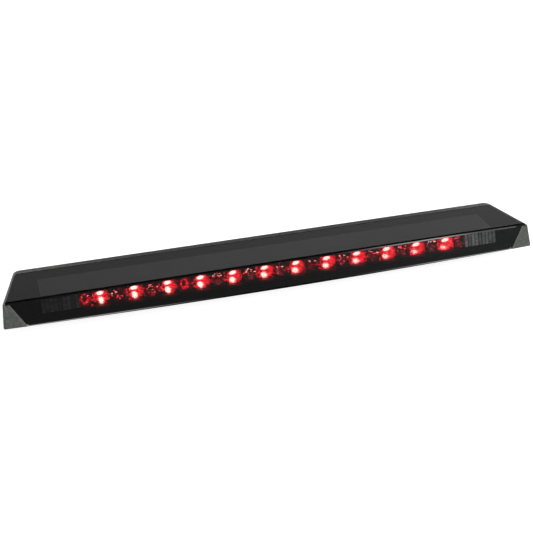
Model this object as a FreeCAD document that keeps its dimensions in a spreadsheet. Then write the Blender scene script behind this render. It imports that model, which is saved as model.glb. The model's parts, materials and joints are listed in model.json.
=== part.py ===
import FreeCAD, Part
import math
import os
import Sketcher

# High-mounted third brake light: a long, shallow, sealed lamp with a raked front face.
# Frame: origin in the middle of the four mounting studs, on the plane of the stud pads.
# +X runs along the lamp, -Y is the lit face, +Z is up and away from the vehicle body.
# All sizes are millimetres.

DRIVING_SIZES = {
    # overall envelope
    "rise": 30.6,            # top of the lens above the stud pads
    "rake": 12.2,            # how far the foot of the face stands ahead of its top edge
    "face_ahead": 38.0,      # top edge of the face, ahead of the origin
    "depth": 71.2,           # top edge of the face to the back of the housing
    "foot_half": 325.0,      # half the housing's width at the foot of the face
    "taper": 0.264,          # narrowing of each end per millimetre towards the back
    "bow": 3.4,              # rise of the underside from the middle to the ends
    "corner_round": 8.5,     # back corners in plan
    "end_round": 2.2,        # lower edge of each end
    # lens
    "lens_wall": 3.0,
    "lens_inset": 2.8,       # housing rim left showing beside the lens
    "lens_depth": 61.0,      # top edge of the face to the back edge of the lens
    "side_top": 316.5,       # half width of the front plate at the top edge of the face
    "side_slope": 0.622,     # narrowing of the front plate per millimetre down the face
    "skirt_wall": 2.2,
    "skirt_foot": 19.0,      # height of the foot of the skirt
    # housing
    "flange_drop": 2.0,      # housing rim below the lens top
    "floor_top": 4.5,
    "wall": 2.2,
    "groove_width": 5.8,
    "groove_floor": 16.0,
    "ledge": 0.8,            # bead thickness behind the front plate
    "corner_front": 6.8,     # foot of the face to the front of the hollow
    "corner_back": 19.0,     # foot of the face to the back of the solid front corners
    "face_long": 33.0,       # length of the face from its top edge to its foot
    "core_pitch": 48.0,      # cells cored from below, along the back
    "core_wide": 42.0,
    "post_round": 2.5,       # posts that carry the top panel
    "post_top": 20.0,
    "exit_round": 6.0,       # holes in the floor for the grommet and the breather cap
    "vent_round": 4.0,
    # mounting
    "stud_span_x": 430.0,
    "stud_span_y": 18.0,
    "stud_round": 2.5,
    "stud_reach": 16.0,
    "stud_hole": 3.0,
    "boss_round": 6.0,       # round each stud, inside the tray
    "boss_top": 8.0,
    "pad_round": 8.5,        # round each stud, under the tray
    "pin_round": 3.0,        # locating pins
    "pin_reach": 6.0,
    "gasket_half": 262.0,    # foam ring: half length, front and back edges, width and thickness
    "gasket_front": 36.0,
    "gasket_back": 17.0,
    "gasket_band": 12.0,
    "gasket_thick": 2.5,
    "gasket_hole": 4.2,      # clear round each stud
    # optics, measured inward from the face
    "led_pitch": 38.9,
    "led_count": 12,
    "bezel_in": 4.2,
    "bezel_wall": 1.6,
    "window_half": 283.0,
    "window_foot": 20.0,     # lower edge of the window, measured down the face
    "strip_half": 238.0,
    "optic_in": 7.2,
    "optic_wall": 2.2,
    "bowl_in": 10.0,
    "bowl_deep": 9.0,
    "strip_deep": 10.0,
    "strip_top": 3.4,
    "strip_foot": 19.4,
    "prism_half": 281.0,
    "prism_wall": 4.0,
    "prism_groove": 0.5,
    "prism_columns": 9,
    "prism_rows": 7,
    "board_in": 20.4,
    "board_wall": 1.6,
    "board_half": 248.0,
    # top panel under the lens
    "panel_half": 279.5,
    "panel_top": 24.6,
    "panel_front": 13.0,     # behind the top edge of the face
    "panel_back": 51.5,
    "panel_wall": 1.6,
    # wiring
    "wire_round": 1.1,
    "wire_half_gap": 1.25,
    "exit_x": 150.0,
    "exit_y": -4.0,
    "lead_level": -8.0,      # height of the lead outside the lamp
    "lead_y": 62.0,          # where the lead runs, behind the origin
    "plug_x": 196.0,         # rear end of the connector
}

document = FreeCAD.newDocument("third_brake_light")
size = document.addObject("Spreadsheet::Sheet", "size")
for row, (alias, value) in enumerate(DRIVING_SIZES.items(), start=1):
    size.set(f"A{row}", alias)
    size.set(f"B{row}", str(value))
    size.setAlias(f"B{row}", alias)
document.recompute()

# Places that several sub-parts share, as expressions on the sheet.
FACE_Y = "(0 - size.face_ahead)"
FOOT_Y = "(0 - size.face_ahead - size.rake)"
BACK_Y = "(size.depth - size.face_ahead)"
LENS_BACK_Y = "(size.lens_depth - size.face_ahead)"
GROOVE_FRONT_Y = f"({LENS_BACK_Y} - size.groove_width)"
PANEL_FRONT_Y = "(size.panel_front - size.face_ahead)"
PANEL_BACK_Y = "(size.panel_back - size.face_ahead)"
LENS_TOP_FLOOR = "(size.rise - size.lens_wall)"
RIM_TOP = "(size.rise - size.flange_drop)"
FACE_ANGLE = "atan(size.rake / size.rise)"
WHOLE_LENGTH = "(2 * size.foot_half + 20)"
STRIP_MIDDLE = "(0 - (size.strip_top + size.strip_foot) / 2)"
FIRST_LED = "(0 - size.led_pitch * (size.led_count - 1) / 2)"
LED_REACH = "size.led_pitch * (size.led_count - 1)"
CLEAR = 0.2                  # gap between pieces that only rest against each other
BEYOND = 5                   # how far an outline runs past the solid that it trims

sub_parts = []


def number(expression):
    """The value of an expression on the sheet, as a plain number."""
    value = size.evalExpression(str(expression))
    return float(getattr(value, "Value", value))


def half_at(y, inset=0):
    """Half the plan width at depth y, inside the tapered end planes by inset."""
    return f"(size.foot_half - size.taper * (({y}) - {FOOT_Y}) - ({inset}))"


def tapered_plan(front, back, inset=0):
    """Plan outline between two depths with tapered ends."""
    return [
        (f"0 - {half_at(front, inset)}", front),
        (half_at(front, inset), front),
        (half_at(back, inset), back),
        (f"0 - {half_at(back, inset)}", back),
    ]


def rectangle(left, right, low, high):
    return [(left, low), (right, low), (right, high), (left, high)]


def new_body(label):
    body = document.addObject("PartDesign::Body", label)
    body.Label = label
    body.AllowCompound = True
    sub_parts.append(body)
    return body


def face_body(label):
    """A body in the face's own frame: X along, Y inward from the face, Z up the face."""
    body = new_body(label)
    lay_on_face(body)
    return body


def lay_on_face(item):
    item.Placement = FreeCAD.Placement(
        FreeCAD.Vector(0, 0, 0), FreeCAD.Rotation(FreeCAD.Vector(-1, 0, 0), 10))
    item.setExpression("Placement.Base.y", FACE_Y)
    item.setExpression("Placement.Base.z", "size.rise")
    item.setExpression("Placement.Rotation.Angle", FACE_ANGLE)


def new_sketch(body, role, lift=0):
    """A sketch on one of the body's origin planes, lifted along the plane's normal."""
    sketch = body.newObject("Sketcher::SketchObject", "outline")
    plane = next(item for item in body.Origin.OriginFeatures if item.Role == role)
    sketch.AttachmentSupport = [(plane, "")]
    sketch.MapMode = "FlatFace"
    sketch.setExpression("AttachmentOffset.Base.z", str(lift))
    return sketch


def face_sketch(body, inward=0):
    """A sketch on the raked face, or inward of it: x along the lamp, y up the face."""
    sketch = new_sketch(body, "XZ_Plane")
    sketch.AttachmentOffset = FreeCAD.Placement(
        FreeCAD.Vector(0, 0, 0), FreeCAD.Rotation(FreeCAD.Vector(-1, 0, 0), 10))
    slant = FACE_ANGLE
    sketch.setExpression("AttachmentOffset.Base.z", f"size.face_ahead - ({inward}) * cos({slant})")
    sketch.setExpression("AttachmentOffset.Base.y", f"size.rise - ({inward}) * sin({slant})")
    sketch.setExpression("AttachmentOffset.Rotation.Angle", slant)
    return sketch


def pin(sketch, geometry, point, place):
    """Holds a sketch point at a place given by two expressions."""
    for kind, expression in zip(("DistanceX", "DistanceY"), place):
        index = sketch.addConstraint(
            Sketcher.Constraint(kind, -1, 1, geometry, point, number(expression)))
        sketch.setExpression(f"Constraints[{index}]", str(expression))


def polygon(sketch, corners):
    """A closed outline of straight lines through corners given as expressions."""
    first = sketch.GeometryCount
    places = [FreeCAD.Vector(number(x), number(y), 0) for x, y in corners]
    for here, there in zip(places, places[1:] + places[:1]):
        sketch.addGeometry(Part.LineSegment(here, there))
    count = len(corners)
    for index in range(count):
        sketch.addConstraint(Sketcher.Constraint(
            "Coincident", first + index, 2, first + (index + 1) % count, 1))
    for index, corner in enumerate(corners):
        pin(sketch, first + index, 1, corner)
    return sketch


def circles(sketch, centres, radius):
    """Circles of one radius at centres given as expressions."""
    for x, y in centres:
        circle = Part.Circle(FreeCAD.Vector(number(x), number(y), 0),
                             FreeCAD.Vector(0, 0, 1), number(radius))
        geometry = sketch.addGeometry(circle)
        pin(sketch, geometry, 3, (x, y))
        index = sketch.addConstraint(Sketcher.Constraint("Radius", geometry, number(radius)))
        sketch.setExpression(f"Constraints[{index}]", str(radius))
    return sketch


def feature(kind, body, sketch, length, back=False, middle=False, widen=0):
    item = body.newObject(f"PartDesign::{kind}", kind.lower())
    item.Profile = sketch
    item.setExpression("Length", str(length))
    item.Reversed = back
    item.Midplane = middle
    item.TaperAngle = widen
    body.Tip = item
    return item


def pad(body, sketch, length, back=False, middle=False, widen=0):
    return feature("Pad", body, sketch, length, back, middle, widen)


def pocket(body, sketch, length, back=False, middle=False, widen=0):
    """A pocket that has to take material away."""
    document.recompute()
    before = body.Shape.Volume
    item = feature("Pocket", body, sketch, length, back, middle, widen)
    document.recompute()
    if body.Shape.Volume > before - 1e-3:
        raise ValueError(f"{body.Label}: {item.Label} cuts nothing")
    return item


def repeat(body, seed, axis_role, length, count, backwards=False):
    """A linear pattern of one feature along an origin axis of the body."""
    item = body.newObject("PartDesign::LinearPattern", "pattern")
    item.Originals = [seed]
    axis = next(found for found in body.Origin.OriginFeatures if found.Role == axis_role)
    item.Direction = (axis, [""])
    item.Reversed = backwards
    item.setExpression("Length", str(length))
    item.setExpression("Occurrences", str(count))
    body.Tip = item
    return item


def dress(kind, body, amount, chosen):
    """Rounds or chamfers the edges of the body's present shape for which chosen(edge) is true."""
    document.recompute()
    base = body.Tip
    edges = base.Shape.Edges
    names = [f"Edge{index}" for index, edge in enumerate(edges, start=1) if chosen(edge)]
    if not names:
        raise ValueError(f"{body.Label}: no edges to dress")
    item = body.newObject(f"PartDesign::{kind}", kind.lower())
    item.Base = (base, names)
    item.setExpression("Radius" if kind == "Fillet" else "Size", str(amount))
    body.Tip = item
    return item


def fillet(body, radius, chosen):
    return dress("Fillet", body, radius, chosen)


def is_upright(edge):
    """True for a straight edge along Z."""
    low, high = edge.BoundBox.ZMin, edge.BoundBox.ZMax
    return high - low > 1 and edge.Length - (high - low) < 1e-6


def is_end_foot(edge):
    """True for the long lower edge of either end of the housing."""
    middle = edge.CenterOfMass
    lowest = number("size.bow + 1")
    return abs(middle.x) > number("size.foot_half - 20") and middle.z < lowest and edge.Length > 60


def foot_arc(body, far_level=-15.0):
    """Takes away what lies between the shallow arc of the underside and a level below or above."""
    sketch = new_sketch(body, "XZ_Plane")
    reach = number("size.foot_half + 5")
    radius = number("(size.foot_half^2 + size.bow^2) / (2 * size.bow)")
    end_level = radius - math.sqrt(radius ** 2 - reach ** 2)
    left = FreeCAD.Vector(-reach, end_level, 0)
    right = FreeCAD.Vector(reach, end_level, 0)
    sketch.addGeometry(Part.Arc(left, FreeCAD.Vector(0, 0, 0), right))
    corners = [right, FreeCAD.Vector(reach, far_level, 0), FreeCAD.Vector(-reach, far_level, 0), left]
    for here, there in zip(corners, corners[1:]):
        sketch.addGeometry(Part.LineSegment(here, there))
    return pocket(body, sketch, "4 * size.depth", middle=True)


def face_cut(body):
    """Takes away what lies ahead of the raked face."""
    ahead = f"{FOOT_Y} - 20"
    outline = [(FOOT_Y, "0"), (FACE_Y, "size.rise"), (ahead, "size.rise"), (ahead, "0")]
    sketch = polygon(new_sketch(body, "YZ_Plane"), outline)
    return pocket(body, sketch, WHOLE_LENGTH, middle=True)


def side_at(down, inset=0):
    """Half width of the lens's front plate at a distance down the face."""
    return f"(size.side_top - size.side_slope * ({down}) - ({inset}))"


def front_outline(top, foot, inset=0):
    """Outline on the face between two distances down it, its ends on the plate's slant."""
    return [(f"0 - {side_at(foot, inset)}", f"0 - {foot}"), (side_at(foot, inset), f"0 - {foot}"),
            (side_at(top, inset), f"0 - {top}"), (f"0 - {side_at(top, inset)}", f"0 - {top}")]


def horseshoe(outer, inner, back_outer, back_inner, front):
    """Plan of a band that runs down both ends and along the back."""
    return [
        (f"0 - {half_at(front, outer)}", front),
        (f"0 - {half_at(back_outer, outer)}", back_outer),
        (half_at(back_outer, outer), back_outer),
        (half_at(front, outer), front),
        (half_at(front, inner), front),
        (half_at(back_inner, inner), back_inner),
        (f"0 - {half_at(back_inner, inner)}", back_inner),
        (f"0 - {half_at(front, inner)}", front),
    ]


STUD_PLACES = [(f"{side} * size.stud_span_x / 2", f"{end} * size.stud_span_y / 2")
               for side in (-1, 1) for end in (-1, 1)]
PANEL_POSTS = [(x, 6) for x in (-250, -90, 90, 250)]
PIN_PLACES = [(-285, 0), (285, 0)]
VENT_PLACE = (-120, -6)
POST_FRONT_Y, POST_BACK_Y = -43, -31
POST_INNER_X, POST_OUTER_X = 286, 300
BEZEL_SCREWS = [(side * 290.5, -down) for side in (-1, 1) for down in (9, 21)]
BEZEL_TOP, BEZEL_FOOT, BEZEL_INSET = 2.3, 24.9, 6
PAST_FOOT = 34               # down the face, just beyond its foot
HOLLOW_HALF = f"({side_at('size.face_long')} - 5)"
GROOVE_INSET = "(size.lens_inset + 0.4)"
INNER_INSET = f"({GROOVE_INSET} + size.groove_width)"


def make_housing():
    """The moulded tray: ends, back flange, seal groove, bosses and the two front corners."""
    body = new_body("housing")
    pad(body, polygon(new_sketch(body, "XY_Plane"), tapered_plan(FOOT_Y, BACK_Y)), RIM_TOP)
    back_line = number(BACK_Y) - 1
    fillet(body, "size.corner_round", lambda edge: is_upright(edge) and edge.BoundBox.YMin > back_line)
    # seat of the lens plate inside the rim
    seat_back = f"({LENS_BACK_Y} + 0.3)"
    seat = tapered_plan(f"{FOOT_Y} - {BEYOND}", seat_back, f"size.lens_inset - {CLEAR}")
    seat_deep = f"size.lens_wall - size.flange_drop + {CLEAR}"
    pocket(body, polygon(new_sketch(body, "XY_Plane", RIM_TOP), seat), seat_deep)
    # main hollow, narrower at the front where the solid corners stand
    hollow_front = f"({FOOT_Y} + size.corner_front)"
    step_back = f"({FOOT_Y} + size.corner_back)"
    wall_inset = f"({INNER_INSET} + size.wall)"
    hollow_back = f"({GROOVE_FRONT_Y} - size.wall)"
    hollow = [
        (f"0 - {HOLLOW_HALF}", hollow_front), (HOLLOW_HALF, hollow_front), (HOLLOW_HALF, step_back),
        (half_at(step_back, wall_inset), step_back), (half_at(hollow_back, wall_inset), hollow_back),
        (f"0 - {half_at(hollow_back, wall_inset)}", hollow_back),
        (f"0 - {half_at(step_back, wall_inset)}", step_back), (f"0 - {HOLLOW_HALF}", step_back),
    ]
    pocket(body, polygon(new_sketch(body, "XY_Plane", RIM_TOP), hollow), f"{RIM_TOP} - size.floor_top")
    # seal groove round the ends and the back
    groove = horseshoe(GROOVE_INSET, INNER_INSET, seat_back, GROOVE_FRONT_Y, step_back)
    pocket(body, polygon(new_sketch(body, "XY_Plane", RIM_TOP), groove), f"{RIM_TOP} - size.groove_floor")
    # posts behind the ends of the bezel, on the floor
    for side in (-1, 1):
        inner, outer = sorted((side * POST_INNER_X, side * POST_OUTER_X))
        post = rectangle(inner, outer, POST_FRONT_Y, POST_BACK_Y)
        pad(body, polygon(new_sketch(body, "XY_Plane", "size.wall"), post), "size.panel_top - 2.8")
    face_cut(body)
    # rebate for the lens's front plate and its bead, then the bezel's seat in the posts
    above_top = "(0 - 1)"
    rebate = front_outline(above_top, PAST_FOOT, -0.3)
    pocket(body, polygon(face_sketch(body), rebate), "size.lens_wall + size.ledge")
    seat = front_outline(above_top, BEZEL_FOOT + 0.4, BEZEL_INSET - 0.5)
    pocket(body, polygon(face_sketch(body, "size.lens_wall"), seat),
           "size.bezel_in + size.bezel_wall + 0.1 - size.lens_wall")
    pocket(body, circles(face_sketch(body), BEZEL_SCREWS, 1.25), "size.bezel_in + 10")
    # stud bosses, locating pins and posts that carry the top panel
    pad(body, circles(new_sketch(body, "XY_Plane"), STUD_PLACES, "size.boss_round"), "size.boss_top")
    post_foot = "(size.floor_top - 1.5)"
    pad(body, circles(new_sketch(body, "XY_Plane", post_foot), PANEL_POSTS, "size.post_round"),
        f"size.post_top - {post_foot}")
    foot_arc(body)
    fillet(body, "size.end_round", is_end_foot)
    pad(body, circles(new_sketch(body, "XY_Plane"), STUD_PLACES, "size.pad_round"), "size.floor_top - 1")
    pad(body, circles(new_sketch(body, "XY_Plane", "0 - size.pin_reach"), PIN_PLACES, "size.pin_round"),
        "size.pin_reach + size.floor_top + 0.5")
    # stud holes, lead exit and breather hole, cut upwards from below the floor
    exit_place = ("size.exit_x", "size.exit_y")
    for places, radius, deep in ((STUD_PLACES, "size.stud_hole", "size.boss_top + 4"),
                                 ([exit_place], "size.exit_round", "size.floor_top + 3"),
                                 ([VENT_PLACE], "size.vent_round", "size.floor_top + 3")):
        pocket(body, circles(new_sketch(body, "XY_Plane", -1), places, radius), deep, back=True)
    # the flange and the groove are cored from below to an even wall
    flange_cells = (f"({seat_back} + size.wall)", f"({BACK_Y} - size.wall)", f"{RIM_TOP} - 2.6")
    groove_cells = (GROOVE_FRONT_Y, seat_back, "size.groove_floor - 2.4")
    for column in range(-6, 6):
        left = f"({column + 0.5} * size.core_pitch - size.core_wide / 2)"
        for low, high, top in (flange_cells, groove_cells):
            cell = rectangle(left, f"{left} + size.core_wide", low, high)
            pocket(body, polygon(new_sketch(body, "XY_Plane", -1), cell), f"{top} + 1", back=True)
    return body


def make_outer_lens():
    """The smoked cover: a flat top plate, a raked front plate and a skirt in the groove."""
    body = new_body("outer_lens")
    plate = tapered_plan(f"{FACE_Y} - 3", LENS_BACK_Y, "size.lens_inset")
    pad(body, polygon(new_sketch(body, "XY_Plane", LENS_TOP_FLOOR), plate), "size.lens_wall")
    back_line = number(LENS_BACK_Y) - 1
    fillet(body, "size.corner_round - size.lens_inset",
           lambda edge: is_upright(edge) and edge.BoundBox.YMin > back_line)
    face_cut(body)
    pad(body, polygon(face_sketch(body), front_outline(0.6, PAST_FOOT)), "size.lens_wall", back=True)
    skirt_outer = "(size.lens_inset + 1.6)"
    skirt = horseshoe(skirt_outer, f"({skirt_outer} + size.skirt_wall)", f"({LENS_BACK_Y} - 1.6)",
                      f"({LENS_BACK_Y} - 1.6 - size.skirt_wall)", f"({FOOT_Y} + 21)")
    pad(body, polygon(new_sketch(body, "XY_Plane", "size.skirt_foot"), skirt),
        f"{LENS_TOP_FLOOR} - size.skirt_foot + 0.5")
    foot_arc(body)
    top = number("size.rise")

    def on_top(edge):
        return edge.BoundBox.ZMin > top - 1e-4

    fillet(body, 0.9, on_top)
    return body


def make_lens_seal():
    """Butyl bead: one band in the groove and one round the front plate's rebate."""
    body = new_body("lens_seal")
    gap = 0.3
    band = horseshoe(f"({GROOVE_INSET} + {gap})", f"({INNER_INSET} - {gap})", f"{LENS_BACK_Y}",
                     f"({GROOVE_FRONT_Y} + {gap})", f"({FOOT_Y} + 20)")
    pad(body, polygon(new_sketch(body, "XY_Plane", "size.groove_floor"), band),
        "size.skirt_foot - size.groove_floor - 0.1")
    outer, inner, top = 1.2, 4.2, 18
    low_outer, low_inner = 29.4, 25.8
    ring = [
        (f"0 - {side_at(top, outer)}", -top), (f"0 - {side_at(low_outer, outer)}", -low_outer),
        (0, -32.4), (side_at(low_outer, outer), -low_outer), (side_at(top, outer), -top),
        (side_at(top, inner), -top), (side_at(low_inner, inner), -low_inner),
        (f"0 - {side_at(low_inner, inner)}", -low_inner), (f"0 - {side_at(top, inner)}", -top),
    ]
    pad(body, polygon(face_sketch(body, "size.lens_wall + 0.05"), ring), "size.ledge - 0.1", back=True)
    return body


def make_top_panel():
    """The dark cover plate that shows through the lens top, with sockets on the housing's posts."""
    body = new_body("top_panel")
    plate = rectangle("0 - size.panel_half", "size.panel_half", PANEL_FRONT_Y, PANEL_BACK_Y)
    low = "(size.panel_top - size.panel_wall)"
    pad(body, polygon(new_sketch(body, "XY_Plane", low), plate), "size.panel_wall")
    # stiffening lip along the back, and sockets
    lip = rectangle("0 - size.panel_half", "size.panel_half", f"{PANEL_BACK_Y} - 1.5", PANEL_BACK_Y)
    pad(body, polygon(new_sketch(body, "XY_Plane", low), lip), 8, back=True)
    pad(body, circles(new_sketch(body, "XY_Plane", low), PANEL_POSTS, "size.post_round + 1.7"), 9, back=True)
    pocket(body, circles(new_sketch(body, "XY_Plane", "size.post_top - 8"), PANEL_POSTS,
                         "size.post_round + 0.1"), 8, back=True)
    return body


def make_bezel():
    """The black frame round the light strip: end plates, lower band, shelf and top ledge."""
    body = new_body("bezel")
    plate = front_outline(BEZEL_TOP, BEZEL_FOOT, BEZEL_INSET)
    pad(body, polygon(face_sketch(body, "size.bezel_in"), plate), "size.bezel_wall", back=True)
    window = rectangle("0 - size.window_half", "size.window_half", "0 - size.window_foot", 0)
    pocket(body, polygon(face_sketch(body, 1), window), 8)
    # shelf under the strip, from the window's lower edge inward
    shelf = rectangle("0 - size.window_half", "size.window_half",
                      "0 - size.window_foot - 1.2", "0 - size.window_foot")
    pad(body, polygon(face_sketch(body, "size.bezel_in"), shelf), 12, back=True)
    # ledge above the strip, from the front of the lens back to the panel
    ledge_front, ledge_back = f"({FACE_Y} + 2.9)", f"({PANEL_FRONT_Y} - {CLEAR})"
    ledge = [(ledge_front, "size.panel_top + 1"), (ledge_front, "size.panel_top + 2.5"),
             (ledge_back, "size.panel_top"), (ledge_back, "size.panel_top - 1.5")]
    pad(body, polygon(new_sketch(body, "YZ_Plane"), ledge), f"2 * ({HOLLOW_HALF} - 0.5)", middle=True)
    pocket(body, circles(face_sketch(body, "size.bezel_in - 1"), BEZEL_SCREWS, 1.6), 6)
    return body


def make_bezel_screws():
    """Four short screws from the bezel's end plates into the housing's posts."""
    body = new_body("bezel_screws")
    pad(body, circles(face_sketch(body, "size.bezel_in - 0.9"), BEZEL_SCREWS, 2.4), 0.85, back=True)
    pad(body, circles(face_sketch(body, "size.bezel_in - 0.9"), BEZEL_SCREWS, 1.2), 9, back=True)
    return body


def make_reflector_strip():
    """The metallised strip of bowls: every second cell has a lamp opening."""
    body = face_body("reflector_strip")
    front = "(0 - size.bowl_in)"
    cell = "(size.led_pitch / 2)"
    block = rectangle("0 - size.strip_half", "size.strip_half", "0 - size.strip_foot", "0 - size.strip_top")
    pad(body, polygon(new_sketch(body, "XZ_Plane", front), block), "size.strip_deep", back=True)
    reach_x, reach_z = f"({cell} / 2 - 0.5)", "((size.strip_foot - size.strip_top) / 2 - 0.6)"
    mouth = rectangle(f"{FIRST_LED} - {reach_x}", f"{FIRST_LED} + {reach_x}",
                      f"{STRIP_MIDDLE} - {reach_z}", f"{STRIP_MIDDLE} + {reach_z}")
    bowl = pocket(body, polygon(new_sketch(body, "XZ_Plane", front), mouth), "size.bowl_deep", widen=-30)
    repeat(body, bowl, "X_Axis", LED_REACH, "2 * size.led_count - 1")
    # a narrower, shallower bowl at each end
    inner_end, outer_end = f"({LED_REACH} / 2 + {cell} / 2 + 0.5)", "(size.strip_half - 0.5)"
    for left, right in ((inner_end, outer_end), (f"0 - {outer_end}", f"0 - {inner_end}")):
        mouth = rectangle(left, right, f"{STRIP_MIDDLE} - {reach_z}", f"{STRIP_MIDDLE} + {reach_z}")
        pocket(body, polygon(new_sketch(body, "XZ_Plane", front), mouth), "size.bowl_deep * 2 / 3",
               widen=-30)
    places = [(f"{FIRST_LED} + {index} * size.led_pitch", STRIP_MIDDLE)
              for index in range(int(number("size.led_count")))]
    pocket(body, circles(new_sketch(body, "XZ_Plane", front), places, 3), 14)
    pocket(body, circles(new_sketch(body, "XZ_Plane", f"{front} - size.strip_deep"), BOARD_SCREWS, 1.02),
           5, back=True)
    return body


def make_optic_strip():
    """The clear inner lens ahead of the bowls, split along the middle by a groove."""
    body = face_body("optic_strip")
    front = "(0 - size.optic_in)"
    block = rectangle("0 - size.strip_half", "size.strip_half", "0 - size.strip_foot", "0 - size.strip_top")
    pad(body, polygon(new_sketch(body, "XZ_Plane", front), block), "size.optic_wall", back=True)
    slot = rectangle("0 - size.strip_half", "size.strip_half",
                     f"{STRIP_MIDDLE} - 0.4", f"{STRIP_MIDDLE} + 0.4")
    pocket(body, polygon(new_sketch(body, "XZ_Plane", front), slot), 0.8)
    return body


def make_side_prism(label, side):
    """A clear retroreflecting block beside the strip: a plate with a grid of grooves."""
    body = face_body(label)
    front = "(0 - size.optic_in)"
    near, far = f"({side} * (size.strip_half + 0.4))", f"({side} * size.prism_half)"
    left, right = (near, far) if side > 0 else (far, near)
    foot, top = "(0 - size.strip_foot)", "(0 - size.strip_top)"
    pad(body, polygon(new_sketch(body, "XZ_Plane", front), rectangle(left, right, foot, top)),
        "size.prism_wall", back=True)
    wide = f"(({right} - {left}) / size.prism_columns)"
    tall = f"(({top} - {foot}) / size.prism_rows)"
    half = "size.prism_groove / 2"
    upright = rectangle(f"{left} + {wide} - {half}", f"{left} + {wide} + {half}", foot, top)
    cut = pocket(body, polygon(new_sketch(body, "XZ_Plane", front), upright), "size.prism_groove")
    repeat(body, cut, "X_Axis", f"{wide} * (size.prism_columns - 2)", "size.prism_columns - 1")
    level = rectangle(left, right, f"{foot} + {tall} - {half}", f"{foot} + {tall} + {half}")
    cut = pocket(body, polygon(new_sketch(body, "XZ_Plane", front), level), "size.prism_groove")
    repeat(body, cut, "Z_Axis", f"{tall} * (size.prism_rows - 2)", "size.prism_rows - 1")
    return body


# between the cells, where the strip is solid behind the bowls
BOARD_SCREWS = [(f"size.led_pitch * {quarter} / 4", "0 - 11.4") for quarter in (-19, -11, -3, 3, 11, 19)]


def make_led_board():
    """The long circuit board behind the bowls."""
    body = face_body("led_board")
    front = "(0 - size.board_in)"
    board = rectangle("0 - size.board_half", "size.board_half", -18.4, -3.2)
    pad(body, polygon(new_sketch(body, "XZ_Plane", front), board), "size.board_wall", back=True)
    pocket(body, circles(new_sketch(body, "XZ_Plane", front), BOARD_SCREWS, 1.4), 4)
    return body


def make_leds():
    """Twelve surface-mount lamps in a row: a square package with a round lens."""
    body = face_body("leds")
    face = "(0 - size.board_in)"
    package = rectangle(f"{FIRST_LED} - 1.7", f"{FIRST_LED} + 1.7",
                        f"{STRIP_MIDDLE} - 1.5", f"{STRIP_MIDDLE} + 1.5")
    seed = pad(body, polygon(new_sketch(body, "XZ_Plane", face), package), 1.2)
    repeat(body, seed, "X_Axis", LED_REACH, "size.led_count")
    place = [(FIRST_LED, STRIP_MIDDLE)]
    dome = pad(body, circles(new_sketch(body, "XZ_Plane", f"{face} + 1"), place, 1.25), 1.1)
    repeat(body, dome, "X_Axis", LED_REACH, "size.led_count")
    return body


def make_resistors():
    """Chip resistors on the back of the board, one beside each lamp."""
    body = face_body("resistors")
    back = "(0 - size.board_in - size.board_wall)"
    chip = rectangle(f"{FIRST_LED} + 3.4", f"{FIRST_LED} + 6.6",
                     f"{STRIP_MIDDLE} - 0.8", f"{STRIP_MIDDLE} + 0.8")
    seed = pad(body, polygon(new_sketch(body, "XZ_Plane", back), chip), 0.6, back=True)
    repeat(body, seed, "X_Axis", LED_REACH, "size.led_count")
    return body


def board_block(label, x, up, wide, tall, deep):
    """A moulded component on the back of the board."""
    body = face_body(label)
    back = "(0 - size.board_in - size.board_wall)"
    outline = rectangle(f"{x} - {wide / 2}", f"{x} + {wide / 2}", up - tall / 2, up + tall / 2)
    pad(body, polygon(new_sketch(body, "XZ_Plane", back), outline), deep, back=True)
    return body


def make_board_screws():
    """Six screws through the board into the strip between the bowls."""
    body = face_body("board_screws")
    back = "(0 - size.board_in - size.board_wall - 0.05)"
    pad(body, circles(new_sketch(body, "XZ_Plane", back), BOARD_SCREWS, 2.2), 1.2, back=True)
    pad(body, circles(new_sketch(body, "XZ_Plane", back), BOARD_SCREWS, 1.0), 6.5)
    return body


def make_mounting_studs():
    """Four M5 studs with a flat head inside the tray and the thread pointing down."""
    body = new_body("mounting_studs")
    sketch = circles(new_sketch(body, "XY_Plane", "0 - size.stud_reach"), STUD_PLACES, "size.stud_round")
    pad(body, sketch, "size.stud_reach + size.boss_top")
    pad(body, circles(new_sketch(body, "XY_Plane"), STUD_PLACES, "size.stud_hole - 0.02"), "size.boss_top")
    pad(body, circles(new_sketch(body, "XY_Plane", "size.boss_top"), STUD_PLACES, 5.2), 1.6)
    tip = number("0 - size.stud_reach")
    dress("Chamfer", body, 0.6, lambda edge: edge.CenterOfMass.z < tip + 0.01)
    return body


def make_base_gasket():
    """Foam ring under the housing, round the stud pads and the lead exit."""
    body = new_body("base_gasket")
    band, low = "size.gasket_band", "(0 - size.gasket_thick)"
    outer = rectangle("0 - size.gasket_half", "size.gasket_half", "0 - size.gasket_front", "size.gasket_back")
    inner = rectangle(f"0 - size.gasket_half + {band}", f"size.gasket_half - {band}",
                      f"0 - size.gasket_front + {band} - 4", f"size.gasket_back - {band}")
    high = 6
    pad(body, polygon(new_sketch(body, "XY_Plane", low), outer), high)
    pocket(body, polygon(new_sketch(body, "XY_Plane", f"{low} - 1"), inner), high + 3, back=True)
    foot_arc(body, 20.0)
    pocket(body, circles(new_sketch(body, "XY_Plane", f"{low} - 1"), STUD_PLACES, "size.gasket_hole"),
           high + 3, back=True)
    pocket(body, circles(new_sketch(body, "XY_Plane", -0.05), STUD_PLACES, f"size.pad_round + {CLEAR}"),
           high + 3, back=True)
    return body


def revolve(label, profile, centre):
    """A turned piece: profile points are (radius, height) round an upright axis."""
    body = new_body(label)
    sketch = polygon(new_sketch(body, "XZ_Plane"), profile)
    item = body.newObject("PartDesign::Revolution", "turn")
    item.Profile = sketch
    item.ReferenceAxis = (sketch, ["V_Axis"])
    item.Angle = 360
    body.Tip = item
    body.setExpression("Placement.Base.x", str(centre[0]))
    body.setExpression("Placement.Base.y", str(centre[1]))
    return body


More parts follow.
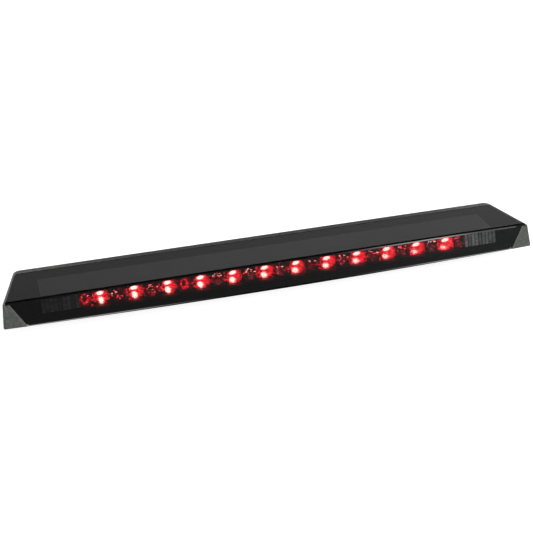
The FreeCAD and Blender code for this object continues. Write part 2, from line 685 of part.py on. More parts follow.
def make_grommet():
    """Rubber bush in the floor with a hole for the two wires."""
    bore = "size.wire_half_gap + size.wire_round + 0.15"
    profile = [(bore, -3), (7, -3), (8.2, -1.5), (8.2, 0.6), (5.9, 0.6), (5.9, "size.floor_top + 0.1"),
               (7.6, "size.floor_top + 0.1"), (6.4, "size.floor_top + 1.8"), (bore, "size.floor_top + 1.8")]
    return revolve("grommet", profile, ("size.exit_x", "size.exit_y"))


def make_vent_cap():
    """Push-in breather cap under the floor."""
    profile = [(1.2, -3.2), (6.2, -3.2), (7, -2.4), (7, 0.2), (3.9, 0.2), (3.9, "size.floor_top + 0.3"),
               (3.0, "size.floor_top + 0.3"), (3.0, -1.0), (1.2, -1.0)]
    return revolve("vent_cap", profile, VENT_PLACE)


def make_vent_membrane():
    """Thin breathable disc inside the vent cap."""
    body = new_body("vent_membrane")
    pad(body, circles(new_sketch(body, "XY_Plane", -0.95), [VENT_PLACE], 2.9), 0.3)
    return body


HEADER_DOWN = 7.2
LEAD_BEND = 6.5
INNER_BEND = 4.0


def face_point(x, inward, down):
    """A point given in the face's own frame."""
    slant = math.radians(number(FACE_ANGLE))
    return FreeCAD.Vector(
        x, number(FACE_Y) - down * math.sin(slant) + inward * math.cos(slant),
        number("size.rise") - down * math.cos(slant) - inward * math.sin(slant))


def lead_line(offset):
    """Corner points of a wire, offset sideways from the middle of the lead."""
    x = number("size.exit_x") + offset
    exit_y, level = number("size.exit_y"), number("size.lead_level")
    run = number("size.lead_y") - offset
    start = face_point(x, number("size.board_in + 8.8"), HEADER_DOWN)
    slope = math.tan(math.radians(number(FACE_ANGLE)))
    return [
        start,
        FreeCAD.Vector(x, exit_y, start.z - (exit_y - start.y) * slope),
        FreeCAD.Vector(x, exit_y, level),
        FreeCAD.Vector(x, run, level),
        FreeCAD.Vector(number("size.plug_x") + 5.8, run, level),
    ]


def rounded_path(corners, bends):
    """A wire through the corners, each turn rounded to its own bend radius."""
    edges = []
    start = corners[0]
    for before, here, after, bend in zip(corners, corners[1:], corners[2:], bends):
        towards = (here - before).normalize()
        away = (after - here).normalize()
        half_turn = towards.getAngle(away) / 2
        setback = bend * math.tan(half_turn)
        centre = here + (away - towards).normalize() * (bend / math.cos(half_turn))
        middle = centre + (here - centre).normalize() * bend
        edges.append(Part.makeLine(start, here - towards * setback))
        edges.append(Part.Arc(here - towards * setback, middle, here + away * setback).toShape())
        start = here + away * setback
    edges.append(Part.makeLine(start, corners[-1]))
    return Part.Wire(edges)


def round_bar(path, radius):
    """A solid round bar along a path."""
    first = path.Edges[0]
    start = first.valueAt(first.FirstParameter)
    direction = first.tangentAt(first.FirstParameter)
    ring = Part.Wire([Part.makeCircle(radius, start, direction)])
    return path.makePipeShell([ring], True, True)


def shape_part(label, shape):
    """A sub-part whose shape is set directly."""
    item = document.addObject("Part::Feature", label)
    item.Label = label
    item.Shape = shape
    item.Placement = FreeCAD.Placement()
    sub_parts.append(item)
    return item


def make_wires():
    """The feed wire and the ground wire, from the board plug to the connector."""
    gap = number("size.wire_half_gap")
    radius = number("size.wire_round")
    for label, offset in (("wire_feed", gap), ("wire_ground", -gap)):
        path = rounded_path(lead_line(offset), (INNER_BEND, LEAD_BEND, LEAD_BEND - offset))
        shape_part(label, round_bar(path, radius))


def make_wire_sleeve():
    """Woven sleeve round both wires outside the lamp."""
    x, run, level = number("size.exit_x"), number("size.lead_y"), number("size.lead_level")
    start = FreeCAD.Vector(x, number("size.exit_y") + LEAD_BEND + 1, level)
    finish = FreeCAD.Vector(number("size.plug_x") - 6, run, level)
    path = rounded_path([start, FreeCAD.Vector(x, run, level), finish], [LEAD_BEND])
    bore = number("size.wire_half_gap + size.wire_round + 0.1")
    tube = round_bar(path, bore + 0.9).cut(round_bar(path, bore))
    shape_part("wire_sleeve", tube)


CONNECTOR_LONG, CONNECTOR_WIDE = 27.0, 15.0
CONNECTOR_LOW, CONNECTOR_HIGH = -13.5, -3.6
CAVITY_DEEP = 14.0
LATCH_LONG = 15.0


def make_connector():
    """Two-way sealed connector: shell, terminals, wire seals, latch and latch lock."""
    rear = number("size.plug_x")
    mid_y = number("size.lead_y")
    level = number("size.lead_level")
    gap = number("size.wire_half_gap")
    nose = rear + CONNECTOR_LONG
    shell = Part.makeBox(CONNECTOR_LONG, CONNECTOR_WIDE, CONNECTOR_HIGH - CONNECTOR_LOW,
                         FreeCAD.Vector(rear, mid_y - CONNECTOR_WIDE / 2, CONNECTOR_LOW))
    long_edges = [edge for edge in shell.Edges if abs(edge.tangentAt(edge.FirstParameter).x) > 0.9]
    shell = shell.makeFillet(2.0, long_edges)
    cavity = Part.makeBox(CAVITY_DEEP, CONNECTOR_WIDE - 3.2, CONNECTOR_HIGH - CONNECTOR_LOW - 3.2,
                          FreeCAD.Vector(nose - CAVITY_DEEP, mid_y - CONNECTOR_WIDE / 2 + 1.6,
                                         CONNECTOR_LOW + 1.6))
    along = FreeCAD.Vector(1, 0, 0)
    rear_bore = Part.makeBox(6.0, 7.4, 5.4, FreeCAD.Vector(rear, mid_y - 3.7, level - 2.7))
    shell = shell.cut(cavity).cut(rear_bore)
    seal = Part.makeBox(4.6, 7.2, 5.2, FreeCAD.Vector(rear + 1.0, mid_y - 3.6, level - 2.6))
    terminals = []
    for offset in (gap, -gap):
        y = mid_y - offset
        slot = Part.makeBox(10, 1.9, 1.9, FreeCAD.Vector(rear + 5, y - 0.95, level - 0.95))
        shell = shell.cut(slot)
        bore = Part.makeCylinder(number("size.wire_round"), 8, FreeCAD.Vector(rear - 1, y, level), along)
        seal = seal.cut(bore)
        blade = Part.makeBox(16.5, 1.7, 0.7, FreeCAD.Vector(rear + 5.8, y - 0.85, level - 0.35))
        terminals.append(blade)
    hinge_block = Part.makeBox(2.4, 6.0, 2.2, FreeCAD.Vector(nose - LATCH_LONG - 4.6, mid_y - 3.0,
                                                            CONNECTOR_HIGH - 0.2))
    rails = [Part.makeBox(14.0, 1.0, 2.4, FreeCAD.Vector(rear + 4.4, y, CONNECTOR_HIGH - 0.2))
             for y in (mid_y - 6.0, mid_y + 5.0)]
    shell = shell.fuse([hinge_block] + rails).removeSplitter()
    shape_part("connector_body", shell)
    shape_part("connector_terminals", Part.makeCompound(terminals))
    shape_part("connector_seal", seal)
    # latch: a lever whose root is at the hinge block and whose free end has a hook
    lever_low = CONNECTOR_HIGH + 1.5
    lever = Part.makeBox(LATCH_LONG, 4.4, 1.2,
                         FreeCAD.Vector(nose - LATCH_LONG - 2.1, mid_y - 2.2, lever_low))
    thumb = Part.makeBox(3.0, 6.4, 1.0, FreeCAD.Vector(nose - 5.1, mid_y - 3.2, lever_low + 1.2))
    shape_part("connector_latch", lever.fuse(thumb).removeSplitter())
    # lock: a slider between the rails, behind the latch
    base = Part.makeBox(3.0, 9.6, 1.6, FreeCAD.Vector(rear + 0.8, mid_y - 4.8, CONNECTOR_HIGH + 0.1))
    arms = [Part.makeBox(11.0, 1.2, 1.6, FreeCAD.Vector(rear + 3.8, y, CONNECTOR_HIGH + 0.1))
            for y in (mid_y - 4.6, mid_y + 3.4)]
    shape_part("connector_lock", base.fuse(arms).removeSplitter())


def make_board_plug():
    """Wire-side plug on the board header."""
    body = face_body("board_plug")
    back = "(0 - size.board_in - size.board_wall - 2.6)"
    deep = 5.4
    outline = rectangle("size.exit_x - 3.8", "size.exit_x + 3.8", -HEADER_DOWN - 2.6, -HEADER_DOWN + 2.6)
    pad(body, polygon(new_sketch(body, "XZ_Plane", back), outline), deep, back=True)
    holes = [(f"size.exit_x {sign} size.wire_half_gap", -HEADER_DOWN) for sign in "+-"]
    pocket(body, circles(new_sketch(body, "XZ_Plane", f"{back} - {deep}"), holes, "size.wire_round + 0.02"),
           1.2, back=True)
    return body


make_housing()
make_outer_lens()
make_lens_seal()
make_top_panel()
make_bezel()
make_bezel_screws()
make_reflector_strip()
make_optic_strip()
make_side_prism("side_prism_left", -1)
make_side_prism("side_prism_right", 1)
make_led_board()
make_leds()
make_resistors()
board_block("input_diode", "(size.exit_x + 18)", -10, 5, 3.6, 2.2)
board_block("surge_suppressor", "(size.exit_x + 47)", -10, 5, 3.6, 2.2)
board_block("current_driver", "(size.exit_x - 32)", -10, 6.5, 6.1, 2.3)
board_block("board_header", "size.exit_x", -HEADER_DOWN, 7, 6.2, 2.55)
make_board_screws()
make_mounting_studs()
make_base_gasket()
make_grommet()
make_vent_cap()
make_vent_membrane()
make_board_plug()
make_wires()
make_wire_sleeve()
make_connector()

document.recompute()
for item in document.Objects:
    if "Invalid" in item.State or "Error" in item.State:
        raise ValueError(f"{item.Label} failed: {item.State}")
for part in sub_parts:
    if part.Shape.isNull() or not part.Shape.isValid():
        raise ValueError(f"{part.Label} has no valid shape")

os.makedirs("parts", exist_ok=True)
for part in sub_parts:
    part.Shape.exportStep(f"parts/{part.Label}.step")
    print(part.Label, len(part.Shape.Solids), round(part.Shape.Volume), part.Shape.BoundBox)
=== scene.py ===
import json
import math
import random

import bmesh
import bpy
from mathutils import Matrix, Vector


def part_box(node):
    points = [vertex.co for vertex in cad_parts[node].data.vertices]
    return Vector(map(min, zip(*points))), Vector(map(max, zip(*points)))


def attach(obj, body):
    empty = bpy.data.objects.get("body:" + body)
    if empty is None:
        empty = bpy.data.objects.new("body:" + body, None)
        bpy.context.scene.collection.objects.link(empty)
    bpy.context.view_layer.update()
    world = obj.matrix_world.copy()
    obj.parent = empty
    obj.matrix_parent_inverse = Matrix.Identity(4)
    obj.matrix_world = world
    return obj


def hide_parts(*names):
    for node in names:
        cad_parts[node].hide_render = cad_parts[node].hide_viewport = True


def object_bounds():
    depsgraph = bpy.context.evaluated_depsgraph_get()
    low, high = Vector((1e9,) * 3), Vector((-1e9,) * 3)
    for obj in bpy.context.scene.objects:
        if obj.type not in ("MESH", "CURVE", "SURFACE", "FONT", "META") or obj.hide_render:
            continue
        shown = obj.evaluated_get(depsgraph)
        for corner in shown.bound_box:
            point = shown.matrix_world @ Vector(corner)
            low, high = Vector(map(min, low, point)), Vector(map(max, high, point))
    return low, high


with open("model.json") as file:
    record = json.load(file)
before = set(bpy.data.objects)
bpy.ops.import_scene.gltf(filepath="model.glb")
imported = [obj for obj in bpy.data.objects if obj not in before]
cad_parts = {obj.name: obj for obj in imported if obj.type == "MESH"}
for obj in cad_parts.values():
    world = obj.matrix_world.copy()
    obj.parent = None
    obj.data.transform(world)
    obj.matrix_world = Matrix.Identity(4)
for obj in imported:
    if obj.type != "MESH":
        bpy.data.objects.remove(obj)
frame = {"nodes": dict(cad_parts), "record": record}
CAD_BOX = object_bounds()
NODES = frame["nodes"]

# ---------------------------------------------------------------- places, from the frame (metres)
MM = 0.001
LENS_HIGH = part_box("outer_lens")[1]
RISE = LENS_HIGH.z
# the lit face leans back: its top edge is this far ahead of the origin, and its foot further by the rake
FACE_AHEAD, RAKE = 38.0 * MM, 12.2 * MM
FACE_Y, FOOT_Y = -FACE_AHEAD, -FACE_AHEAD - RAKE
FACE_ANGLE = math.atan2(RAKE, RISE)
# the housing's half width at its foot, and how fast it narrows towards the back
FOOT_HALF, TAPER = 325.0 * MM, 0.264
# the front plate's half width at its top, and how fast it narrows downwards
PLATE_HALF, PLATE_SLOPE = 316.5 * MM, 0.622
# how far the lens stands in from the housing's ends
LENS_INSET = 2.8 * MM
# how far down from the top the housing's rim is told apart from its sides, and the tray's floor level
RIM_DEEP, TRAY_FLOOR = 2.2 * MM, 4.2 * MM
# the housing's outer faces lie within this distance of the lit face's plane
SKIN = 0.4 * MM
# the lamps, and the strip they stand in: its top and foot are measured down the face
LAMPS = 12
LAMP_PITCH = 38.9 * MM
STRIP_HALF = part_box("reflector_strip")[1].x
STRIP_TOP, STRIP_FOOT = 3.4 * MM, 19.4 * MM
STRIP_MIDDLE = (STRIP_TOP + STRIP_FOOT) / 2
# the front edge of the bezel's ledge, where a highlight is painted: how far behind the face's top edge,
# and how far below the top
LEDGE_BACK, LEDGE_DEEP = 3.1 * MM, 5.2 * MM
# the lens is made dark within this distance of its front crease (painted shade), below this on its face,
# and at its back edge
CREASE_DARK, FACE_DARK, BACK_DARK = 1.6 * MM, 30.5 * MM, 2.2 * MM
PRISM_COLUMNS, PRISM_ROWS = 9, 7


def face_point(x, inward, down):
    """A point in the raked face's own frame: along, inward from the face, down the face."""
    sine, cosine = math.sin(FACE_ANGLE), math.cos(FACE_ANGLE)
    return Vector((x, FACE_Y - down * sine + inward * cosine, RISE - down * cosine - inward * sine))


# ---------------------------------------------------------------- building materials
class Nodes:
    """A node tree under construction, for a material or the world."""

    def __init__(self, owner, output_kind):
        self.owner = owner
        owner.use_nodes = True
        self.tree = owner.node_tree
        self.tree.nodes.clear()
        self.output = self.add(output_kind)

    def add(self, kind, settings=None, **inputs):
        node = self.tree.nodes.new(kind)
        for name, value in (settings or {}).items():
            setattr(node, name, value)
        for name, value in inputs.items():
            self.feed(node.inputs[name.replace("_", " ")], value)
        return node

    def feed(self, socket, value):
        if isinstance(value, bpy.types.NodeSocket):
            self.tree.links.new(value, socket)
        else:
            socket.default_value = value

    def math(self, operation, first, second=0.0):
        node = self.add("ShaderNodeMath", {"operation": operation})
        self.feed(node.inputs[0], first)
        self.feed(node.inputs[1], second)
        return node.outputs[0]

    def product(self, first, *others):
        for other in others:
            first = self.math("MULTIPLY", first, other)
        return first

    def above(self, value, limit):
        """1 where the value is over the limit, else 0."""
        return self.math("GREATER_THAN", value, limit)

    def below(self, value, limit):
        return self.math("LESS_THAN", value, limit)

    def absolute(self, value):
        return self.math("ABSOLUTE", value)

    def split(self, vector):
        node = self.add("ShaderNodeSeparateXYZ")
        self.feed(node.inputs[0], vector)
        return node.outputs[0], node.outputs[1], node.outputs[2]

    def span(self, value, low, high, to_low, to_high, smooth=False):
        """Maps a value from one range to another, held at both ends."""
        node = self.add("ShaderNodeMapRange", Value=value)
        node.interpolation_type = "SMOOTHSTEP" if smooth else "LINEAR"
        for socket, number in zip(node.inputs[1:5], (low, high, to_low, to_high)):
            self.feed(socket, number)
        return node.outputs[0]

    def mix_color(self, factor, first, second):
        node = self.add("ShaderNodeMix", {"data_type": "RGBA"})
        self.feed(node.inputs[0], factor)
        self.feed(node.inputs[6], first)
        self.feed(node.inputs[7], second)
        return node.outputs[2]

    def ramp(self, value, stops):
        """A colour ramp; stops are (place, colour) pairs."""
        node = self.add("ShaderNodeValToRGB", Fac=value)
        elements = node.color_ramp.elements
        while len(elements) < len(stops):
            elements.new(1.0)
        for element, (place, color) in zip(elements, stops):
            element.position = place
            element.color = color
        return node.outputs[0]

    def blend(self, factor, first, second):
        """Shows the first surface where the factor is 0 and the second where it is 1."""
        node = self.add("ShaderNodeMixShader")
        for socket, value in zip(node.inputs, (factor, first, second)):
            self.feed(socket, value)
        return node.outputs[0]

    def plus(self, first, second):
        node = self.add("ShaderNodeAddShader")
        self.feed(node.inputs[0], first)
        self.feed(node.inputs[1], second)
        return node.outputs[0]

    def finish(self, surface):
        self.tree.links.new(surface, self.output.inputs["Surface"])
        return self.owner


class Shader(Nodes):
    """A surface material under construction."""

    def __init__(self, name):
        super().__init__(bpy.data.materials.new(name), "ShaderNodeOutputMaterial")
        self.place = self.add("ShaderNodeNewGeometry").outputs["Position"]

    def noise(self, scale, detail, roughness=0.5):
        node = self.add("ShaderNodeTexNoise", Vector=self.place, Scale=scale, Detail=detail,
                        Roughness=roughness)
        return node.outputs["Fac"]

    def bump(self, height, strength, distance, normal):
        node = self.add("ShaderNodeBump", Strength=strength, Distance=distance, Height=height,
                        Normal=normal)
        return node.outputs["Normal"]

    def soft_edges(self, radius):
        return self.add("ShaderNodeBevel", {"samples": 4}, Radius=radius).outputs["Normal"]

    def attribute(self, name):
        return self.add("ShaderNodeAttribute", {"attribute_name": name}).outputs["Fac"]

    def outer_fresnel(self, normal):
        """Reflection by angle, on the side of a surface that faces out only."""
        mirror = self.add("ShaderNodeFresnel", IOR=1.49, Normal=normal).outputs[0]
        behind = self.add("ShaderNodeNewGeometry").outputs["Backfacing"]
        return self.product(mirror, self.math("SUBTRACT", 1.0, behind))

    def face_places(self):
        """Along, inward and down-the-face coordinates of the shaded point."""
        x, y, z = self.split(self.place)
        ahead = self.math("ADD", y, -FACE_Y)
        below = self.math("SUBTRACT", RISE, z)
        sine, cosine = math.sin(FACE_ANGLE), math.cos(FACE_ANGLE)
        inward = self.math("ADD", self.product(ahead, cosine), self.product(below, sine))
        down = self.math("SUBTRACT", self.product(below, cosine), self.product(ahead, sine))
        return x, inward, down


def grey(level):
    return (level, level, level, 1.0)


def scaled(color, factor):
    return tuple(channel * factor for channel in color[:3]) + (1.0,)


HOUSING_GREY = (0.112, 0.116, 0.110, 1)
BLACK = grey(0.006)
# colour of the red light painted on the bezel under the lamps
PAINTED_SPILL_RED = (1.0, 0.004, 0.02, 1)
# from no glow to the hottest, for the reflector's painted glow and the lamps' own glow
GLOW_STOPS = (
    (0.0, (0.0, 0.0, 0.0, 1)),
    (0.18, (0.03, 0.0004, 0.002, 1)),
    (0.4, (0.42, 0.001, 0.010, 1)),
    (0.62, (0.95, 0.004, 0.02, 1)),
    (0.78, (1.0, 0.14, 0.13, 1)),
    (0.9, (1.0, 0.82, 0.72, 1)),
    (1.0, (1.0, 0.95, 0.88, 1)),
)
# strength of the lamps' glow and the reflector's painted glow, and of the highlight painted on the bezel's
# ledge
GLOW_STRENGTH, LEDGE_HIGHLIGHT_STRENGTH = 4.2, 1.15


def plastic_surface(shader, tone, rough, grain, depth, edge):
    fine = shader.noise(grain, 3.0, 0.65)
    normal = shader.bump(fine, depth, 0.3 * MM, shader.soft_edges(edge))
    roughness = shader.span(fine, 0.2, 0.8, rough - 0.07, rough + 0.07)
    surface = shader.add("ShaderNodeBsdfPrincipled", Base_Color=tone, Roughness=roughness, Normal=normal)
    return surface.outputs[0]


def mottled(shader, color, grain, speckle):
    """Grainy colour with paler worn edges and darker clouds."""
    fine = shader.noise(grain, 3.0, 0.65)
    cloud = shader.noise(35.0, 3.0)
    tone = shader.mix_color(shader.span(fine, 0.3, 0.7, 0.0, 1.0), scaled(color, 1 - speckle),
                            scaled(color, 1 + speckle))
    tone = shader.mix_color(shader.span(cloud, 0.3, 0.7, 0.0, 0.35), tone, scaled(color, 1 - speckle))
    pointed = shader.add("ShaderNodeNewGeometry").outputs["Pointiness"]
    worn = shader.product(shader.span(pointed, 0.52, 0.6, 0.0, 0.5), cloud)
    return shader.mix_color(worn, tone, scaled(color, 1.6))


def moulded_plastic(name, color, rough=0.5, grain=900.0, depth=0.05, edge=0.4 * MM, speckle=0.12):
    """Moulded plastic with a spark-eroded grain, cloudy colour and soft edges."""
    shader = Shader(name)
    tone = mottled(shader, color, grain, speckle)
    return shader.finish(plastic_surface(shader, tone, rough, grain, depth, edge))


def rubber(name, color, rough):
    return moulded_plastic(name, color, rough, 1500.0, 0.08, 0.3 * MM, 0.2)


def metal(name, color, rough):
    """Plated or bare metal with a fine uneven polish and dull clouds."""
    shader = Shader(name)
    fine = shader.noise(1400.0, 2.0)
    cloud = shader.noise(60.0, 3.0)
    tone = shader.mix_color(shader.span(cloud, 0.3, 0.7, 0.0, 0.5), color, scaled(color, 0.75))
    surface = shader.add(
        "ShaderNodeBsdfPrincipled", Base_Color=tone, Metallic=1.0,
        Roughness=shader.span(fine, 0.2, 0.8, rough * 0.7, rough * 1.4),
        Normal=shader.bump(fine, 0.03, 0.1 * MM, shader.soft_edges(0.1 * MM)))
    return shader.finish(surface.outputs[0])


def housing_plastic():
    """Grey grained tray, made near black inside, under the lens."""
    shader = Shader("housing_plastic")
    y, z = shader.split(shader.place)[1:]
    x, inward, down = shader.face_places()
    aside = shader.absolute(x)
    in_rim = shader.above(z, RISE - RIM_DEEP)
    # painted shade: the lip behind the lens is painted darker in the middle of the lamp than near its ends
    middle = shader.span(aside, 0.16, 0.3, 0.5, 0.0, True)
    lip = shader.product(in_rim, shader.above(y, LENS_HIGH.y), middle)
    tone = shader.mix_color(lip, mottled(shader, HOUSING_GREY, 400.0, 0.55), grey(0.0))
    # painted highlight: the edge that meets the front plate is painted paler
    plate_half = shader.math("SUBTRACT", PLATE_HALF, shader.product(PLATE_SLOPE, down))
    beside = shader.math("SUBTRACT", aside, plate_half)
    painted_edge_highlight = shader.product(shader.span(beside, 1.2 * MM, 3.0 * MM, 0.4, 0.0, True),
                            shader.below(inward, SKIN))
    tone = shader.mix_color(painted_edge_highlight, tone, scaled(HOUSING_GREY, 1.8))
    # a highlight is painted on the rim beside the lens at each end too
    narrowing = shader.product(TAPER, shader.math("SUBTRACT", y, FOOT_Y))
    end_gap = shader.math("SUBTRACT", shader.math("SUBTRACT", FOOT_HALF, narrowing), aside)
    rim = shader.product(shader.below(end_gap, LENS_INSET + 0.2 * MM), in_rim, 0.8)
    tone = shader.mix_color(rim, tone, scaled(HOUSING_GREY, 2.0))
    # inside the tray, under the lens, the colour is made near black
    inside = shader.product(
        shader.above(end_gap, LENS_INSET - 0.1 * MM),
        shader.below(y, LENS_HIGH.y + 0.28 * MM),
        shader.above(inward, SKIN),
        shader.above(z, TRAY_FLOOR))
    tone = shader.mix_color(inside, tone, grey(0.004))
    return shader.finish(plastic_surface(shader, tone, 0.55, 520.0, 0.6, 0.4 * MM))


def bezel_plastic():
    """Black frame; a highlight is painted on the front edge of its ledge as a glow, towards the right."""
    shader = Shader("bezel_plastic")
    tone = mottled(shader, BLACK, 1100.0, 0.12)
    y, z = shader.split(shader.place)[1:]
    x, down = shader.face_places()[::2]
    # painted highlight: a white glow on the ledge's front edge, only right of the middle
    edge = shader.product(
        shader.below(y, FACE_Y + LEDGE_BACK),
        shader.above(z, RISE - LEDGE_DEEP),
        shader.span(x, 0.06, 0.2, 0.0, 1.0, True),
        shader.span(x, 0.2, 0.26, 1.0, 0.25, True),
        LEDGE_HIGHLIGHT_STRENGTH)
    painted_ledge_highlight = shader.add("ShaderNodeEmission", Color=grey(1.0), Strength=edge)
    # painted red light: a little red glow is painted over the lower lip, under each lamp
    wave = shader.math("COSINE", shader.product(x, 2 * math.pi / LAMP_PITCH))
    painted_red_spill = shader.product(
        shader.span(wave, -1.0, 0.2, 1.0, 0.1, True),
        shader.span(down, STRIP_FOOT, STRIP_FOOT + 4.0 * MM, 0.2, 0.0, True),
        shader.below(shader.absolute(x), LAMPS / 2 * LAMP_PITCH),
        shader.above(down, STRIP_FOOT - 1.0 * MM))
    red = shader.add("ShaderNodeEmission", Color=PAINTED_SPILL_RED, Strength=painted_red_spill)
    surface = plastic_surface(shader, tone, 0.2, 1100.0, 0.02, 0.3 * MM)
    return shader.finish(shader.plus(shader.plus(surface, painted_ledge_highlight.outputs[0]), red.outputs[0]))


def smoked_lens():
    """Dark tinted acrylic: light passes straight through and the surface reflects by angle."""
    shader = Shader("smoked_lens")
    normal = shader.bump(shader.noise(18.0, 1.0), 0.02, 1.0 * MM, shader.soft_edges(0.3 * MM))
    cloud = shader.noise(9.0, 2.0)
    tint = shader.mix_color(shader.span(cloud, 0.3, 0.7, 0.0, 1.0), grey(0.56), grey(0.53))
    # painted shade along the crease at the top of the face: the lens there is made near opaque with a
    # dimmer reflection, and so are the face's foot and the back edge
    y = shader.split(shader.place)[1]
    inward, down = shader.face_places()[1:]
    squares = shader.math("ADD", shader.product(inward, inward), shader.product(down, down))
    from_crease = shader.math("SQRT", squares)
    back = LENS_HIGH.y - BACK_DARK
    clear = shader.product(
        shader.span(from_crease, CREASE_DARK * 0.7, CREASE_DARK, 0.0, 1.0, True),
        shader.span(down, FACE_DARK, FACE_DARK + 1.5 * MM, 1.0, 0.0, True),
        shader.span(y, back, back + 0.8 * MM, 1.0, 0.0))
    tint = shader.mix_color(clear, grey(0.02), tint)
    through = shader.add("ShaderNodeBsdfTransparent", Color=tint)
    rough = shader.span(shader.noise(260.0, 4.0), 0.3, 0.75, 0.04, 0.09)
    gloss = shader.add("ShaderNodeBsdfAnisotropic", Roughness=rough, Normal=normal,
                       Color=shader.mix_color(clear, grey(0.3), grey(1.0)))
    return shader.finish(shader.blend(shader.outer_fresnel(normal), through.outputs[0], gloss.outputs[0]))


def clear_plastic():
    """Clear moulding: light passes straight through and the surface reflects by angle."""
    shader = Shader("clear_plastic")
    normal = shader.bump(shader.noise(500.0, 2.0), 0.05, 0.2 * MM, shader.soft_edges(0.2 * MM))
    through = shader.add("ShaderNodeBsdfTransparent", Color=grey(0.94))
    gloss = shader.add("ShaderNodeBsdfAnisotropic", Color=grey(1.0), Roughness=0.08, Normal=normal)
    return shader.finish(shader.blend(shader.outer_fresnel(normal), through.outputs[0], gloss.outputs[0]))


def prism_plastic():
    """Retroreflecting block: columns of small prisms that each catch the light differently."""
    shader = Shader("prism_plastic")
    x, down = shader.face_places()[::2]
    near, far = (corner.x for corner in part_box("side_prism_right"))
    column_wide, row_tall = (far - near) / PRISM_COLUMNS, (STRIP_FOOT - STRIP_TOP) / PRISM_ROWS
    aside = shader.math("SUBTRACT", shader.absolute(x), near)
    below = shader.math("SUBTRACT", down, STRIP_TOP)
    column = shader.math("FLOOR", shader.math("DIVIDE", aside, column_wide))
    row = shader.math("FLOOR", shader.math("DIVIDE", below, row_tall))
    cell = shader.add("ShaderNodeCombineXYZ", X=column, Y=row).outputs[0]
    cell_tone = shader.add("ShaderNodeTexWhiteNoise", {"noise_dimensions": "3D"}, Vector=cell).outputs[0]
    bar_tone = shader.add("ShaderNodeTexWhiteNoise", {"noise_dimensions": "1D"}, W=column).outputs[0]
    chance = shader.math("ADD", shader.product(cell_tone, 0.5), shader.product(bar_tone, 0.5))
    # painted light: brighter beside the lamps, and much brighter at the lamp's right end than at its left
    level = shader.product(
        shader.span(chance, 0.1, 0.9, 0.7, 1.5),
        shader.span(aside, 0.0, far - near, 1.2, 0.8),
        shader.span(x, -0.2, 0.2, 0.8, 3.4))
    # the joints between columns and between rows are darker
    column_dip = shader.span(x, -0.2, 0.2, 0.75, 0.42)
    for place, wide, dip in ((aside, column_wide, column_dip), (below, row_tall, 0.6)):
        share = shader.math("FRACT", shader.math("DIVIDE", place, wide))
        off_middle = shader.absolute(shader.math("SUBTRACT", share, 0.5))
        level = shader.product(level, shader.span(off_middle, 0.25, 0.45, 1.0, dip))
    normal = shader.bump(shader.noise(700.0, 2.0), 0.1, 0.2 * MM, shader.soft_edges(0.2 * MM))
    tone = shader.add("ShaderNodeCombineColor", Red=level, Green=level, Blue=level).outputs[0]
    gloss = shader.add("ShaderNodeBsdfAnisotropic", Roughness=0.3, Normal=normal,
                       Color=shader.mix_color(0.45, grey(0), tone))
    milk = shader.add("ShaderNodeBsdfDiffuse", Color=shader.mix_color(0.1, grey(0), tone), Normal=normal)
    return shader.finish(shader.plus(gloss.outputs[0], milk.outputs[0]))


def lit_reflector():
    """Vacuum-metallised facets with painted light: those round a lamp are given a glow for the lamp's
    light in them, and each facet a painted glint of its own.
    """
    shader = Shader("lit_reflector")
    glow, spark = shader.attribute("glow"), shader.attribute("spark")
    # a facet's own painted glint counts for less where the bowl's painted glow is hot already
    extra = shader.product(spark, shader.span(glow, 0.0, 0.9, 1.0, 0.0))
    color = shader.ramp(shader.math("ADD", glow, extra), GLOW_STOPS)
    lamp = shader.add("ShaderNodeEmission", Color=color, Strength=GLOW_STRENGTH)
    fine = shader.noise(900.0, 2.0)
    tone = shader.mix_color(fine, grey(0.55), grey(0.75))
    mirror = shader.add("ShaderNodeBsdfPrincipled", Base_Color=tone, Metallic=1.0,
                        Roughness=shader.span(fine, 0.2, 0.8, 0.12, 0.25))
    shade = shader.add("ShaderNodeBsdfDiffuse", Color=grey(0.01))
    silvered = shader.span(glow, 0.06, 0.2, 0.22, 0.02)
    metal_surface = shader.blend(silvered, shade.outputs[0], mirror.outputs[0])
    return shader.finish(shader.plus(metal_surface, lamp.outputs[0]))


def lamp_glow():
    """The lamps' own packages: a red die under a clear dome."""
    shader = Shader("red_lamp")
    heat = shader.span(shader.noise(1200.0, 1.0), 0.3, 0.7, 0.45, 0.75)
    lamp = shader.add("ShaderNodeEmission", Color=shader.ramp(heat, GLOW_STOPS), Strength=GLOW_STRENGTH)
    gloss = shader.add("ShaderNodeBsdfPrincipled", Base_Color=(0.5, 0.01, 0.01, 1), Roughness=0.15)
    return shader.finish(shader.plus(gloss.outputs[0], lamp.outputs[0]))


